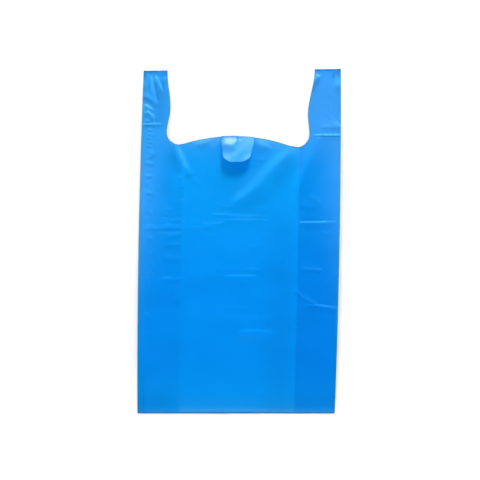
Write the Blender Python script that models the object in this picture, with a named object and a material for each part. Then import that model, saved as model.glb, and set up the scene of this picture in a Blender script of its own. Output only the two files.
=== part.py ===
"""Plastic vest carrier bag, laid flat on its back.

One tube of film makes the whole bag. It is tucked in at both sides, welded across both ends and punched
for its mouth, and the punching leaves two handles and a hanging tab on each panel. X runs across the bag,
+Y runs up to the handles and +Z out of the front panel. The back panel lies on Z = 0, and the origin is
at the middle of the bag's outline there.
"""

import math

import bmesh
import bpy
import numpy as np

# The tube of film.
BAG_WIDTH = 0.300  # across the middle, with the gussets folded in
BAG_LENGTH = 0.5125  # from the bottom cut to the tops of the handles
GUSSET_DEPTH = 0.063  # how far each side is tucked in
FILM = 0.00003  # thickness of the film
POCKET_AIR = 0.0005  # air between a panel and the gusset layer beside it
GUSSET_AIR = 0.0006  # air between the two layers of one gusset

# How far the bag is from square.
LEAN = math.radians(1.04)  # the tube runs this far off square to its bottom cut
TOP_TILT = math.radians(0.5)  # angle between the top cut and the bottom cut
GATHER = 0.0058  # how much narrower the heat of the welds leaves the two ends

# The welds, which are alike at the bottom and across the tops of the handles.
WELD_WIDTH = 0.0025
WELD_THICKNESS = 0.0003
CLOSING = 0.018  # length in which the layers come together towards a weld

# The mouth. Depths are measured down from the top cut, before the bag is put out of square.
PUNCH_OFFSET = -0.0017  # the punch sits this far to one side of the bag's middle
PUNCH_TILT = math.radians(-1.75)
HANDLE_TOP = 0.0381  # width of a handle at its top, for a punch in the middle
HANDLE_WAIST = 0.0461  # where it is widest
HANDLE_ROOT = 0.0426  # where it runs into the bag
WAIST_DEPTH = 0.0629
ROOT_DEPTH = 0.0943
ROOT_RADIUS = 0.0193
CREST_DEPTH = 0.0991  # the mouth rises to this in the middle

# The hanging tabs, one on each panel.
TAB_ROOT_WIDTH = 0.050
TAB_TIP_WIDTH = 0.042
TAB_LENGTH = 0.050  # from the fold to the tip, with the tab flat
TAB_CORNER_RADIUS = 0.016
FRONT_BEND = 0.0020  # radius at which the front tab folds over the front panel
FRONT_TURN = math.radians(146)
FRONT_CURL = math.radians(16)  # further turn along the rest of the front tab
BACK_TURN = math.radians(180)

# Smoothness of the round stretches.
BEND_STEPS = 6
CLOSING_STEPS = 4
GATHER_STEPS = 6
CURVE_STEPS = 14

CUTTER_MARGIN = 0.010  # how far a cutter runs past what it cuts

LAYERS_AIR = 2 * POCKET_AIR + GUSSET_AIR
WELD_AIR_SHARE = (WELD_THICKNESS - 4 * FILM) / LAYERS_AIR

FILM_BLUE = (0.004, 0.285, 0.88, 1.0)


def clear_scene():
    for obj in list(bpy.data.objects):
        bpy.data.objects.remove(obj)


# The section of the folded tube


def levels(air_share):
    """Heights of the faces of the four layers, from the back panel's outside to the front panel's outside."""
    pocket, gusset = POCKET_AIR * air_share, GUSSET_AIR * air_share
    return np.cumsum([0, FILM, pocket, FILM, gusset, FILM, pocket, FILM])


def half_round(x, start, end, side):
    """Half a circle from height start to height end, standing out from x to one side, -1 or 1."""
    angles = np.linspace(-math.pi / 2, math.pi / 2, BEND_STEPS + 1)
    radius = (end - start) / 2
    across = x + side * abs(radius) * np.cos(angles)
    up = (start + end) / 2 + radius * np.sin(angles)
    return list(zip(across, up, strict=True))


def side_bend(z):
    """Centre of the folds at the bag's side edges."""
    return BAG_WIDTH / 2 - (z[3] - z[0]) / 2


def gusset_bend(z):
    """Centre of a gusset's inner fold."""
    return BAG_WIDTH / 2 - GUSSET_DEPTH + (z[5] - z[2]) / 2


def outside_section(z):
    """The outside of the bag, with its gussets still filled up."""
    side = side_bend(z)
    return (
        half_round(side, z[0], z[3], 1)
        + half_round(side, z[4], z[7], 1)
        + half_round(-side, z[7], z[4], -1)
        + half_round(-side, z[3], z[0], -1)
    )


def inside_section(z):
    """The space inside the bag, which reaches round both gussets to the side edges."""
    side, fold = side_bend(z), gusset_bend(z)
    return (
        half_round(side, z[1], z[2], 1)
        + half_round(fold, z[2], z[5], -1)
        + half_round(side, z[5], z[6], 1)
        + half_round(-side, z[6], z[5], -1)
        + half_round(-fold, z[5], z[2], 1)
        + half_round(-side, z[2], z[1], -1)
    )


def gusset_section(z, side):
    """The slot that the outside air has between the two layers of one gusset, on side -1 or 1."""
    past_edge = side * (BAG_WIDTH / 2 + CUTTER_MARGIN)
    fold = half_round(side * gusset_bend(z), z[3], z[4], -side)
    return [*fold, (past_edge, z[4]), (past_edge, z[3])]


# Solids carried along the bag


def closing_stations(start):
    """(Y, air share) from one end of the closing length to the other, with the bottom weld below start."""
    steps = np.linspace(0, 1, CLOSING_STEPS + 1)
    eased = (1 - np.cos(math.pi * steps)) / 2
    return list(zip(start + CLOSING * steps, WELD_AIR_SHARE + (1 - WELD_AIR_SHARE) * eased, strict=True))


def film_stations():
    """(Y, air share) between the two welds."""
    lower = closing_stations(-BAG_LENGTH / 2 + WELD_WIDTH)
    upper = [(-y, share) for y, share in reversed(lower)]
    middle = np.linspace(lower[-1][0], upper[0][0], 2 * GATHER_STEPS + 1)[1:-1]
    return lower + [(y, 1.0) for y in middle] + upper


def whole_stations():
    """(Y, air share) from end to end."""
    end = BAG_LENGTH / 2
    return [(-end, WELD_AIR_SHARE), *film_stations(), (end, WELD_AIR_SHARE)]


def add_object(name, vertices, faces):
    """A mesh object whose faces all point outwards."""
    mesh = bpy.data.meshes.new(name)
    mesh.from_pydata(vertices, [], faces)
    bm = bmesh.new()
    bm.from_mesh(mesh)
    bmesh.ops.recalc_face_normals(bm, faces=bm.faces)
    bm.to_mesh(mesh)
    bm.free()
    obj = bpy.data.objects.new(name, mesh)
    bpy.context.scene.collection.objects.link(obj)
    return obj


def carried_section(name, section, stations):
    """A closed solid that joins the section at each station to the next one."""
    vertices, faces = [], []
    for y, share in stations:
        ring = section(levels(share))
        vertices += [(x, y, z) for x, z in ring]
    count = len(ring)
    for row in range(len(stations) - 1):
        for i in range(count):
            j = (i + 1) % count
            near, far = row * count, (row + 1) * count
            faces.append((near + i, near + j, far + j, far + i))
    last = (len(stations) - 1) * count
    faces.append(tuple(range(count)))
    faces.append(tuple(range(last, last + count)))
    return add_object(name, vertices, faces)


# The punch


def eased_edge(depths, halves):
    """An easy curve of a handle's inner edge from one half width to another, without its last point."""
    steps = np.linspace(0, 1, CURVE_STEPS + 1)[:-1]
    eased = (1 - np.cos(math.pi * steps)) / 2
    x = halves[0] + (halves[1] - halves[0]) * eased
    return list(zip(x, -(depths[0] + (depths[1] - depths[0]) * steps), strict=True))


def arc(centre, radius, start, end):
    """Points on a circle between two angles in radians."""
    angles = np.linspace(start, end, CURVE_STEPS + 1)
    return [(centre[0] + radius * math.cos(a), centre[1] + radius * math.sin(a)) for a in angles]


def arch_radius():
    """Radius of the mouth's long arch, which the rounded roots of the handles run into smoothly."""
    root_x = BAG_WIDTH / 2 - HANDLE_ROOT - ROOT_RADIUS
    rise = CREST_DEPTH - ROOT_DEPTH
    return (root_x**2 - ROOT_RADIUS**2 + rise**2) / (2 * (ROOT_RADIUS - rise))


def arch_depth(x):
    """Depth of the mouth's arch at this distance from its middle."""
    radius = arch_radius()
    return CREST_DEPTH + radius - math.sqrt(radius**2 - x**2)


def fold_depth():
    """Depth of the line that both tabs fold along, across their roots."""
    return arch_depth(TAB_ROOT_WIDTH / 2)


def tab_outline():
    """Right half of a tab from its root to the middle of its tip, standing up from the mouth."""
    root, tip = TAB_ROOT_WIDTH / 2, TAB_TIP_WIDTH / 2
    top = TAB_LENGTH - fold_depth()
    corner = (tip - TAB_CORNER_RADIUS, top - TAB_CORNER_RADIUS)
    return [(root, -fold_depth()), *arc(corner, TAB_CORNER_RADIUS, 0, math.pi / 2)]


def punch_outline():
    """Closed outline of what the punch takes away, in the punch's own frame."""
    radius = arch_radius()
    top, waist, root = (BAG_WIDTH / 2 - width for width in (HANDLE_TOP, HANDLE_WAIST, HANDLE_ROOT))
    centre = (root - ROOT_RADIUS, -ROOT_DEPTH)
    arch = (0, -CREST_DEPTH - radius)
    meeting = math.atan2(centre[0], centre[1] - arch[1])
    tab_angle = math.asin(TAB_ROOT_WIDTH / 2 / radius)
    right = [(top, CUTTER_MARGIN)]
    right += eased_edge((0, WAIST_DEPTH), (top, waist))
    right += eased_edge((WAIST_DEPTH, ROOT_DEPTH), (waist, root))
    right += arc(centre, ROOT_RADIUS, 0, -math.pi / 2 - meeting)
    right += arc(arch, radius, math.pi / 2 - meeting, math.pi / 2 - tab_angle)[1:-1]
    right += tab_outline()
    return right + [(-x, y) for x, y in reversed(right)]


def from_punch(points):
    """Points of the punch's frame, in the bag's frame."""
    points = np.array(points, float)
    turned = points.copy()
    turned[:, 0] = PUNCH_OFFSET + points[:, 0] * math.cos(PUNCH_TILT) - points[:, 1] * math.sin(PUNCH_TILT)
    turned[:, 1] = BAG_LENGTH / 2 + points[:, 0] * math.sin(PUNCH_TILT) + points[:, 1] * math.cos(PUNCH_TILT)
    return turned


def to_punch(points):
    """Points of the bag's frame, in the punch's frame."""
    points = np.array(points, float)
    x, y = points[:, 0] - PUNCH_OFFSET, points[:, 1] - BAG_LENGTH / 2
    turned = points.copy()
    turned[:, 0] = x * math.cos(PUNCH_TILT) + y * math.sin(PUNCH_TILT)
    turned[:, 1] = -x * math.sin(PUNCH_TILT) + y * math.cos(PUNCH_TILT)
    return turned


def make_punch():
    """The cutter that opens the mouth through all the layers."""
    outline = from_punch(punch_outline())
    count = len(outline)
    low = [(x, y, -CUTTER_MARGIN) for x, y in outline]
    high = [(x, y, levels(1)[7] + CUTTER_MARGIN) for x, y in outline]
    faces = [(i, (i + 1) % count, count + (i + 1) % count, count + i) for i in range(count)]
    faces += [tuple(range(count)), tuple(range(count, 2 * count))]
    return add_object("mouth_punch", low + high, faces)


# Cutting and folding


def cut(obj, cutter):
    """Takes the cutter's shape out of obj, and removes the cutter."""
    modifier = obj.modifiers.new("cut", "BOOLEAN")
    modifier.operation = "DIFFERENCE"
    modifier.object = cutter
    graph = bpy.context.evaluated_depsgraph_get()
    mesh = bpy.data.meshes.new_from_object(obj.evaluated_get(graph))
    obj.modifiers.remove(modifier)
    obj.data = mesh
    bpy.data.objects.remove(cutter)


def bent_path(distance, offset, stretches):
    """(Y, Z) of film that leaves along +Y and bends up and back through (length, turn) stretches.

    offset is the point's height over the middle of the film, which the bends carry round with it.
    """
    left = np.array(distance, float)
    y, z, angle = np.zeros_like(left), np.zeros_like(left), np.zeros_like(left)
    for length, turn in stretches:
        step = np.clip(left, 0, length)
        radius = length / turn
        turned = angle + step / radius
        y += radius * (np.sin(turned) - np.sin(angle))
        z += radius * (np.cos(angle) - np.cos(turned))
        left -= step
        angle = turned
    return y + left * np.cos(angle) - offset * np.sin(angle), z + left * np.sin(angle) + offset * np.cos(angle)


def in_tab(points):
    """Which points of the punch's frame are on a tab, past its fold line."""
    return (np.abs(points[:, 0]) < TAB_ROOT_WIDTH / 2 + FILM) & (points[:, 1] > -fold_depth() - FILM / 2)


def crease(bm, distance, only):
    """Adds a row of edges across the film at this distance past the fold line. only picks the faces' points."""
    line = from_punch([(0, distance - fold_depth())])[0]
    along = (-math.sin(PUNCH_TILT), math.cos(PUNCH_TILT), 0)
    faces = [f for f in bm.faces if only(np.array([v.co for v in f.verts])).all()]
    edges = {e for f in faces for e in f.edges}
    verts = {v for f in faces for v in f.verts}
    bmesh.ops.bisect_plane(
        bm, geom=[*faces, *edges, *verts], dist=FILM / 100, plane_co=(*line, 0), plane_no=along
    )


def fold_tab(bm, middle, stretches, chosen):
    """Folds one tab over: middle is the height of its film, and chosen picks its layer by height."""

    def on_this_tab(points):
        return in_tab(to_punch(points)) & chosen(points[:, 2])

    start = 0.0
    for length, _ in stretches:
        for distance in np.linspace(start, start + length, BEND_STEPS + 1)[1:]:
            crease(bm, distance, on_this_tab)
        start += length
    verts = list(bm.verts)
    points = np.array([v.co for v in verts])
    moving = np.flatnonzero(on_this_tab(points))
    flat = to_punch(points[moving])
    distance = np.maximum(flat[:, 1] + fold_depth(), 0)
    y, z = bent_path(distance, flat[:, 2] - middle, stretches)
    flat[:, 1], flat[:, 2] = y - fold_depth(), z + middle
    for i, place in zip(moving, from_punch(flat), strict=True):
        verts[i].co = place


def fold_tabs(obj):
    """Folds the front panel's tab over the front, and tucks the back panel's tab into the mouth."""
    z = levels(1)
    halfway = (z[0] + z[7]) / 2
    bm = bmesh.new()
    bm.from_mesh(obj.data)
    crease(bm, 0, lambda points: np.ones(len(points), bool))
    tucked = ((z[1] + z[6]) / 2 - FILM / 2) / 2
    back = [(tucked * BACK_TURN, BACK_TURN)]
    fold_tab(bm, FILM / 2, back, lambda height: height < halfway)
    bend = FRONT_BEND * FRONT_TURN
    front = [(bend, FRONT_TURN), (TAB_LENGTH - bend, FRONT_CURL)]
    fold_tab(bm, z[6] + FILM / 2, front, lambda height: height > halfway + FILM)
    bm.to_mesh(obj.data)
    bm.free()


def put_out_of_square(obj):
    """Leans the bag, gathers its two ends in and tilts its top, then puts its outline over the origin."""
    co = np.empty(len(obj.data.vertices) * 3)
    obj.data.vertices.foreach_get("co", co)
    co = co.reshape(-1, 3)
    x, y = co[:, 0].copy(), co[:, 1].copy()
    along = y / (BAG_LENGTH / 2)
    co[:, 0] = x * (1 - GATHER / BAG_WIDTH * along**2) + y * math.tan(LEAN)
    co[:, 1] = y + x * math.tan(TOP_TILT) * (along + 1) / 2
    co[:, :2] -= (co[:, :2].min(axis=0) + co[:, :2].max(axis=0)) / 2
    obj.data.vertices.foreach_set("co", co.ravel())
    obj.data.update()


def film_material():
    material = bpy.data.materials.new("blue_film")
    material.use_nodes = True
    shader = material.node_tree.nodes["Principled BSDF"]
    shader.inputs["Base Color"].default_value = FILM_BLUE
    shader.inputs["Roughness"].default_value = 0.35
    shader.inputs["Metallic"].default_value = 0.0
    return material


def make_bag():
    """The bag: a filled outside, less the space inside it, the two gussets' slots and the mouth."""
    bag = carried_section("carrier_bag", outside_section, whole_stations())
    cut(bag, carried_section("inside", inside_section, film_stations()))
    for side in (-1, 1):
        cut(bag, carried_section("gusset", lambda z, s=side: gusset_section(z, s), film_stations()))
    cut(bag, make_punch())
    fold_tabs(bag)
    put_out_of_square(bag)
    bag.data.materials.clear()
    bag.data.materials.append(film_material())
    bag.data.shade_smooth()
    bag.data.set_sharp_from_angle(angle=math.radians(30))
    return bag


clear_scene()
make_bag()
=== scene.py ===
"""Looks of the plastic vest carrier bag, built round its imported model.

The bag is one tube of thin blue film, laid flat on its back. X runs across it, +Y up to the handles and
+Z out of its front. Everything is in metres unless a name says otherwise.

Two frames of the flat bag are used below. The bag's own frame has the tube's side edges and its gussets'
folds along Y. The punch's frame is the one in which the mouth was cut, a little turned and moved from it.
"""

import math

import bpy
import numpy as np
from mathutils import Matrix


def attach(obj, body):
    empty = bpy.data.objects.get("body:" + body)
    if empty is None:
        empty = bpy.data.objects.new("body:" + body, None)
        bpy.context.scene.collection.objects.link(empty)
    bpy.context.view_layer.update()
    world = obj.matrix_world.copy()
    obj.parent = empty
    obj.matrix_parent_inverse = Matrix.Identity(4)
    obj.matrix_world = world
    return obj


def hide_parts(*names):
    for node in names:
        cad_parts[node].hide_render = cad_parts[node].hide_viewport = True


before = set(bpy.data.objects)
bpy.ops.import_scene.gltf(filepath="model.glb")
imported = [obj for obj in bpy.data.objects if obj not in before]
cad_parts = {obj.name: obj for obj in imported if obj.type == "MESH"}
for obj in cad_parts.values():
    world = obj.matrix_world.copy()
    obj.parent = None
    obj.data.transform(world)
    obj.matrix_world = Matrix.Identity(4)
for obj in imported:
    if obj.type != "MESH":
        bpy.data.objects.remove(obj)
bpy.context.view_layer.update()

# The tube of film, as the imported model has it.
BAG_WIDTH = 0.300
BAG_LENGTH = 0.5125
GUSSET_DEPTH = 0.063
FILM = 0.00003
POCKET_AIR = 0.0005  # between a gusset and the panel over or under it
GUSSET_AIR = 0.0006  # between the two layers of a gusset
LEAN = math.radians(1.04)  # of the bag to its right, so that it is out of square
TOP_TILT = math.radians(0.5)  # of its top edge, which dies out towards the bottom
GATHER = 0.0058  # how much narrower the bag is at its welds
WELD_WIDTH = 0.0025
WELD_THICKNESS = 0.0003
CLOSING = 0.028  # length over which the layers come together at a weld
PRESSED = 0.55  # share of the air that is pressed out towards both ends
PRESSED_FROM = 0.13  # from the bag's middle
PRESSED_OVER = 0.09

# The mouth: a handle's widths at its top, its widest place and its root, and depths below the top cut.
PUNCH_OFFSET = -0.0017
PUNCH_TILT = math.radians(-1.75)
HANDLE_TOP = 0.0381
HANDLE_WAIST = 0.0461
HANDLE_ROOT = 0.0426
WAIST_DEPTH = 0.0629
ROOT_DEPTH = 0.0943
ROOT_RADIUS = 0.0193
CREST_DEPTH = 0.0991

# The tabs.
TAB_ROOT_WIDTH = 0.050
TAB_TIP_WIDTH = 0.042
TAB_LENGTH = 0.050
TAB_CORNER_RADIUS = 0.016
TAB_BEND = 0.0016  # radius of the front tab's bend at its middle
TAB_SIDE_BEND = 0.0007  # and at its edges
TAB_TURN = math.radians(147)  # how far the front tab is folded over
TAB_LEFT_TURN = math.radians(4)  # the front tab's left edge folds over further than its right edge
TAB_CURL = math.radians(3)  # how much further it turns on the way to its tip
TAB_REACH = 0.978  # share of the front tab's length that its path has, as its crumples take up the rest
TUCKED_HEIGHT = 0.0008  # the back tab lies this far over the back panel, inside the mouth

# How the layers lie.
MIDDLE_AIR = 0.0009  # between the two panels, where no gusset lies between them
TAB_PROP = 0.0007  # the tucked tab holds the front panel this much further up
DRAPE = 0.008  # length over which the front panel comes down from a gusset's fold
LEAST_AIR = 0.00016  # what a crease leaves of the air under the front panel
SIDE_HOLD = 0.004  # from a side edge, where the front panel's wrinkles are half as high
WELD_HOLD = 0.005  # from a weld, where they die out
FRONT_UNEVENNESS = 0.00025
BACK_UNEVENNESS = 0.00012
BACK_WRINKLES = 0.25  # share of the front panel's wrinkles that the back panel has too
BACK_SHIFT = 0.003  # how much lower they lie there
GUSSET_MARGIN = 0.001  # past a gusset's fold, where the front panel is still kept off the gusset

# Cells of the film's grid. The layers behind the front panel have one in COARSE of its lines.
HANDLE_CELLS = 28
ROOT_CELLS = 12
ARCH_CELLS = 20
TAB_CELLS = 24
LOWER_ROWS = 224
HANDLE_ROWS = 100
TAB_ROWS = 48
TAB_BEND_ROWS = 8  # of them in the tab's bend
BEND_CELLS = 5
COARSE = 4
CORNER_DROP = 0.014  # how much lower than a handle's inner edge the side edge meets the handle's grid
STRAIGHT_BELOW = 0.065  # under the mouth, where the grid's rows start to follow its curve

# Where the grid's rows are close together, for creases: (y, reach, extra density).
BUSY_ROWS = (
    (0.037, 0.003, 3),
    (0.029, 0.003, 3),
    (0.019, 0.003, 3),
    (-0.041, 0.002, 3),
    (-0.050, 0.003, 3),
    (-0.094, 0.003, 3),
    (-0.135, 0.003, 3),
    (0.090, 0.090, 1),
)
BUSY_HANDLE_ROWS = (
    (0.158, 0.003, 6),
    (0.174, 0.003, 1.5),
    (0.187, 0.004, 1),
    (0.200, 0.006, 1),
    (0.213, 0.003, 1),
)
BUSY_TAB_COLUMNS = ((-0.28, 0.12, 2), (0.12, 0.12, 2))  # as shares of the tab's half width

# The film's layers, by the numbers that its material tells them apart by.
BACK, GUSSET_BACK, GUSSET_FRONT, FRONT, FRONT_TAB, BACK_TAB, WELD = range(7)

BORDER = 0.0055  # width of the greyer border along the bag's edges
SHEEN_WIDTH = 0.014  # width of the painted sheen along the mouth
TAB_LIGHT_SHIFT = 0.006  # how much lower than the tucked tab the painted light in the front tab's shadow lies
SHEEN_FROM, SHEEN_TO = -0.080, 0.070  # the part of the mouth where the painted sheen is strongest
LEAST_SHEEN = 0.15  # share of the painted sheen that is left by the handles

BEAD_HEIGHT = 0.62  # half the height of a weld's bead, as a share of the weld's thickness
FLOOR_GAP = 0.00005

MM = 0.001
FEW = slice(None, None, COARSE)

# Sizes that follow from those above.
HALF_WIDTH = BAG_WIDTH / 2
HALF_LENGTH = BAG_LENGTH / 2
GUSSET_FOLD = HALF_WIDTH - GUSSET_DEPTH
ARCH_CENTRE_X = HALF_WIDTH - HANDLE_ROOT - ROOT_RADIUS
ROOT_CORNER_X = ARCH_CENTRE_X + ROOT_RADIUS * math.cos(math.pi / 4)  # the corner of the handle's grid
ARCH_RISE = CREST_DEPTH - ROOT_DEPTH
ARCH_RADIUS = (ARCH_CENTRE_X**2 - ROOT_RADIUS**2 + ARCH_RISE**2) / (2 * (ROOT_RADIUS - ARCH_RISE))
FOLD_DEPTH = CREST_DEPTH + ARCH_RADIUS - math.sqrt(ARCH_RADIUS**2 - (TAB_ROOT_WIDTH / 2) ** 2)
WELD_AIR_SHARE = (WELD_THICKNESS - 4 * FILM) / (2 * POCKET_AIR + GUSSET_AIR)


# Shapes of curves


def eased(share):
    """A smooth step from 0 to 1: half a cosine wave, flat at both ends."""
    return (1 - np.cos(np.pi * np.clip(share, 0, 1))) / 2


def spaced(start, end, cells, busy):
    """Places from start to end that share out a density equally. busy says where they are close together.

    The density is one, plus a bell for each (place, reach, height) of busy.
    """
    samples = 4001
    fine = np.linspace(start, end, samples)
    density = 1 + sum(height * np.exp(-(((fine - place) / reach) ** 2)) for place, reach, height in busy)
    total = np.concatenate([[0], np.cumsum((density[1:] + density[:-1]) / 2)])
    return np.interp(np.linspace(0, total[-1], cells + 1), total, fine)


def from_punch(x, y):
    """Places of the punch's frame, in the bag's frame: a turn, then a move to the middle of the top cut."""
    cos, sin = math.cos(PUNCH_TILT), math.sin(PUNCH_TILT)
    return PUNCH_OFFSET + x * cos - y * sin, HALF_LENGTH + x * sin + y * cos


def to_punch(x, y):
    """Places of the bag's frame, in the punch's frame: the move back, then the turn back."""
    cos, sin = math.cos(PUNCH_TILT), math.sin(PUNCH_TILT)
    x, y = x - PUNCH_OFFSET, y - HALF_LENGTH
    return x * cos + y * sin, y * cos - x * sin


def mouth_depth(x):
    """Depth of the mouth's lower edge below the top cut, at x across the punch.

    It is a long arch, met smoothly by a small circle at the root of each handle. Across the tabs it is
    the straight line that they fold along.
    """
    x = np.abs(x)
    slope = math.atan2(ARCH_CENTRE_X, ARCH_RADIUS + ARCH_RISE)
    meeting = ARCH_CENTRE_X - ROOT_RADIUS * math.sin(slope)
    arch = CREST_DEPTH + ARCH_RADIUS - np.sqrt(ARCH_RADIUS**2 - np.minimum(x, meeting) ** 2)
    root = ROOT_DEPTH + np.sqrt(np.maximum(ROOT_RADIUS**2 - (x - ARCH_CENTRE_X) ** 2, 0))
    depth = np.where(x > meeting, root, arch)
    return np.where(x < TAB_ROOT_WIDTH / 2, FOLD_DEPTH, depth)


def handle_edge(side):
    """The handle's inner edge in the bag's frame, as (x, y) from the middle of its root's curve to the top.

    It is an eighth of the root's circle, two eased stretches through the handle's widest place, and a
    straight line on past the top cut.
    """
    angles = np.linspace(-math.pi / 4, 0, 41)
    x = ARCH_CENTRE_X + ROOT_RADIUS * np.cos(angles)
    y = -ROOT_DEPTH + ROOT_RADIUS * np.sin(angles)
    knots = [(HANDLE_ROOT, ROOT_DEPTH), (HANDLE_WAIST, WAIST_DEPTH), (HANDLE_TOP, 0)]
    steps = np.linspace(0, 1, 81)[1:]
    for (width, depth), (next_width, next_depth) in zip(knots[:-1], knots[1:], strict=True):
        x = np.concatenate([x, HALF_WIDTH - width + (width - next_width) * eased(steps)])
        y = np.concatenate([y, -(depth + (next_depth - depth) * steps)])
    x, y = np.append(x, x[-1]), np.append(y, TAB_LENGTH)
    return from_punch(side * x, y)


def out_of_square(x, y):
    """Places of the bag's frame, gathered in towards both welds, leaning, and tilted at the top."""
    along = y / HALF_LENGTH
    across = x * (1 - GATHER / BAG_WIDTH * along**2) + y * math.tan(LEAN)
    return across, y + x * math.tan(TOP_TILT) * (along + 1) / 2


def middle_of_outline():
    """Middle of the box round the bag's four edges, which the model has over its origin."""
    samples = 1025
    y = np.linspace(-HALF_LENGTH, HALF_LENGTH, samples)
    x = np.full_like(y, HALF_WIDTH)
    across, up = out_of_square(np.stack([-x, x]), np.stack([y, y]))
    return (across.min() + across.max()) / 2, (up.min() + up.max()) / 2


MIDDLE = middle_of_outline()


def placed(x, y):
    """Places of the bag's frame, in the model's frame: out of square, then moved to its middle."""
    across, up = out_of_square(x, y)
    return across - MIDDLE[0], up - MIDDLE[1]


# The flat grid


def tab_shares():
    """Places across a tab, from -1 at its left edge to 1 at its right one. They are close together where
    the front tab is creased."""
    return spaced(-1, 1, TAB_CELLS, BUSY_TAB_COLUMNS)


def mouth_columns():
    """(x, y) in the bag's frame of the top of each column of the part below the mouth, from left to right.

    Columns stand on the side edges, on the corner of each handle's grid, on the gussets' folds and on the
    ends of the tabs' fold lines. They are spaced evenly in between, other than across the tabs. Over the
    handles, each top is on a straight line from the corner out to the side edge, which drops on the way.
    """
    corner_depth = ROOT_DEPTH + ROOT_RADIUS * math.sin(math.pi / 4)
    rounds = 8  # of finding where the mouth crosses a gusset's fold, each from the depth at the last place
    keys = []
    for side in (-1, 1):
        gusset = side * GUSSET_FOLD
        for _ in range(rounds):
            offset = PUNCH_OFFSET + mouth_depth(gusset) * math.sin(PUNCH_TILT)
            gusset = (side * GUSSET_FOLD - offset) / math.cos(PUNCH_TILT)
        keys.append([side * ROOT_CORNER_X, gusset, side * TAB_ROOT_WIDTH / 2])
    left, right = keys
    right = right[::-1]
    stretches = [
        np.linspace(left[0], left[1], ROOT_CELLS + 1)[:-1],
        np.linspace(left[1], left[2], ARCH_CELLS + 1)[:-1],
        right[0] * tab_shares()[:-1],
        np.linspace(right[0], right[1], ARCH_CELLS + 1)[:-1],
        np.linspace(right[1], right[2], ROOT_CELLS + 1),
    ]
    across = np.concatenate(stretches)
    depth = mouth_depth(across)
    depth[[0, -1]] = corner_depth
    x, y = from_punch(across, -depth)
    share = np.linspace(0, 1, HANDLE_CELLS + 1)[:-1]
    left_x = -HALF_WIDTH + (x[0] + HALF_WIDTH) * share
    left_y = y[0] - CORNER_DROP * (1 - share)
    right_x = HALF_WIDTH + (x[-1] - HALF_WIDTH) * share
    right_y = y[-1] - CORNER_DROP * (1 - share)
    return np.concatenate([left_x, x, right_x[::-1]]), np.concatenate([left_y, y, right_y[::-1]])


def lower_grid():
    """(x, y) in the bag's frame of the part below the mouth.

    Its rows are straight lines across, which bend to the mouth's edge near the top, by an eased share.
    """
    x, top = mouth_columns()
    level = top.mean()
    rows = spaced(-HALF_LENGTH, level, LOWER_ROWS, BUSY_ROWS)
    bend = eased((rows - level + STRAIGHT_BELOW) / STRAIGHT_BELOW)
    return np.tile(x, (len(rows), 1)), rows[:, None] + bend[:, None] * (top - level)


def handle_grid(side, corner, edge):
    """(x, y) of one handle, from its side edge to its inner edge. Each row is a straight line between them.

    corner and edge are the inner and outer ends of its lowest row.
    """
    x, y = handle_edge(side)
    inner = spaced(corner[1], HALF_LENGTH, HANDLE_ROWS, BUSY_HANDLE_ROWS)
    inner_x = np.interp(inner, y, x)
    inner_x[0] = corner[0]
    outer = inner + (edge[1] - corner[1]) * (1 - eased((inner - inner[0]) / (HALF_LENGTH - inner[0])))
    outer_x = side * HALF_WIDTH
    share = np.linspace(0, 1, HANDLE_CELLS + 1)
    return outer_x + (inner_x[:, None] - outer_x) * share, outer[:, None] + (inner - outer)[:, None] * share


def tab_half_width(distance, taper):
    """Half a tab's width at a distance past its fold: it gets narrower evenly over the taper, and the tip's
    corners are quarter circles."""
    half = TAB_ROOT_WIDTH / 2 - (TAB_ROOT_WIDTH - TAB_TIP_WIDTH) / 2 * np.clip(distance / taper, 0, 1)
    past = np.clip(distance - TAB_LENGTH + TAB_CORNER_RADIUS, 0, TAB_CORNER_RADIUS)
    return half - TAB_CORNER_RADIUS + np.sqrt(np.maximum(TAB_CORNER_RADIUS**2 - past**2, 0))


def tab_grid():
    """(across, distance past the fold) of a tab laid flat.

    Its rows are even round the bend, and then close up towards the round corners, as a quarter of a sine.
    """
    bend = TAB_BEND * TAB_TURN
    first = np.linspace(0, bend, TAB_BEND_ROWS)
    rest = np.linspace(0, 1, TAB_ROWS - TAB_BEND_ROWS + 2)[1:]
    rest = bend + (TAB_LENGTH - bend) * np.sin(rest * math.pi / 2)
    distance = np.concatenate([first, rest])
    half = tab_half_width(distance, TAB_LENGTH - TAB_CORNER_RADIUS)
    return half[:, None] * tab_shares(), np.repeat(distance[:, None], TAB_CELLS + 1, axis=1)


# Wrinkles, all in millimetres. Each is (its points on the model, height, width to its left, width to its
# right), as seen from its first point, and a dip has a height below 0. Most run from left to right, with
# their left side towards the handles.

# Broad folds with straight sides.
FOLD_START = 0.65  # share of its width that a fold starts with
FOLDS = (
    ([(-18, 50), (5, 66), (28, 82.5), (42, 99), (56, 114), (69, 126), (88, 139)], 2.55, 13, 28),
    ([(86, 66), (96, 98), (125, 165)], 1.4, 13, 24),
)

# Long creases that run down from the left handle's weld, where they die out slowly.
WELD_CREASE_FADE = 14
WELD_CREASES = (
    ([(-124.5, 250), (-121.8, 240), (-118, 231), (-113, 219)], 1.6, 1.5, 2.6),
    ([(-133, 251), (-130, 240), (-129, 229), (-126, 217), (-123.5, 208)], 1.5, 1.6, 2.4),
    ([(-137, 246), (-135, 236), (-136, 226)], 0.7, 1.6, 2.0),
    ([(-112, 248), (-110, 237)], 0.5, 2.0, 2.0),
    ([(-139.5, 253), (-136.5, 248), (-133, 243)], 0.5, 1.8, 2.2),
    ([(-120, 246.5), (-113, 246), (-108, 246)], -0.7, 5.0, 3.0),
)

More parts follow.
